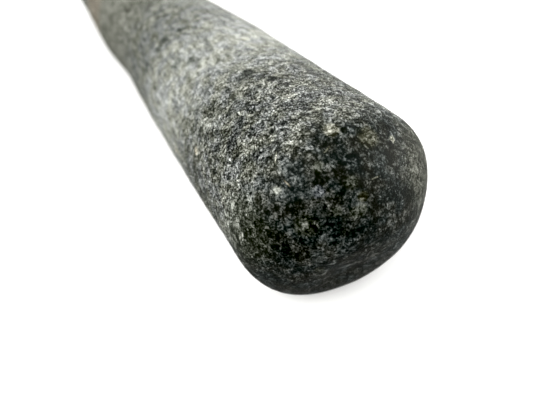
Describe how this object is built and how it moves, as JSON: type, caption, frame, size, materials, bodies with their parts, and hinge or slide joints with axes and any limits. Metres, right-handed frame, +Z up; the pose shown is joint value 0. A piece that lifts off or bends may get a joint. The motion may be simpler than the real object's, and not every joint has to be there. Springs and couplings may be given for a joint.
{
  "type": "pestle",
  "caption": "Stone pestle for a molcajete: a tapered round bar with a wide domed grinding end and a slimmer rounded grip end.",
  "frame": {"origin": "on the table under the middle of the pestle's length, with the pestle lying on its side", "axes": "+X along the pestle from the grip end to the grinding end, +Z up from the table"},
  "size_m": [0.2478, 0.051, 0.0507],
  "materials": {
    "stone": "speckled dark granite, worn smooth at the grinding end and bruised matte along the side"
  },
  "bodies": {
    "root": {"stone_pestle": "stone"}
  },
  "joints": []
}
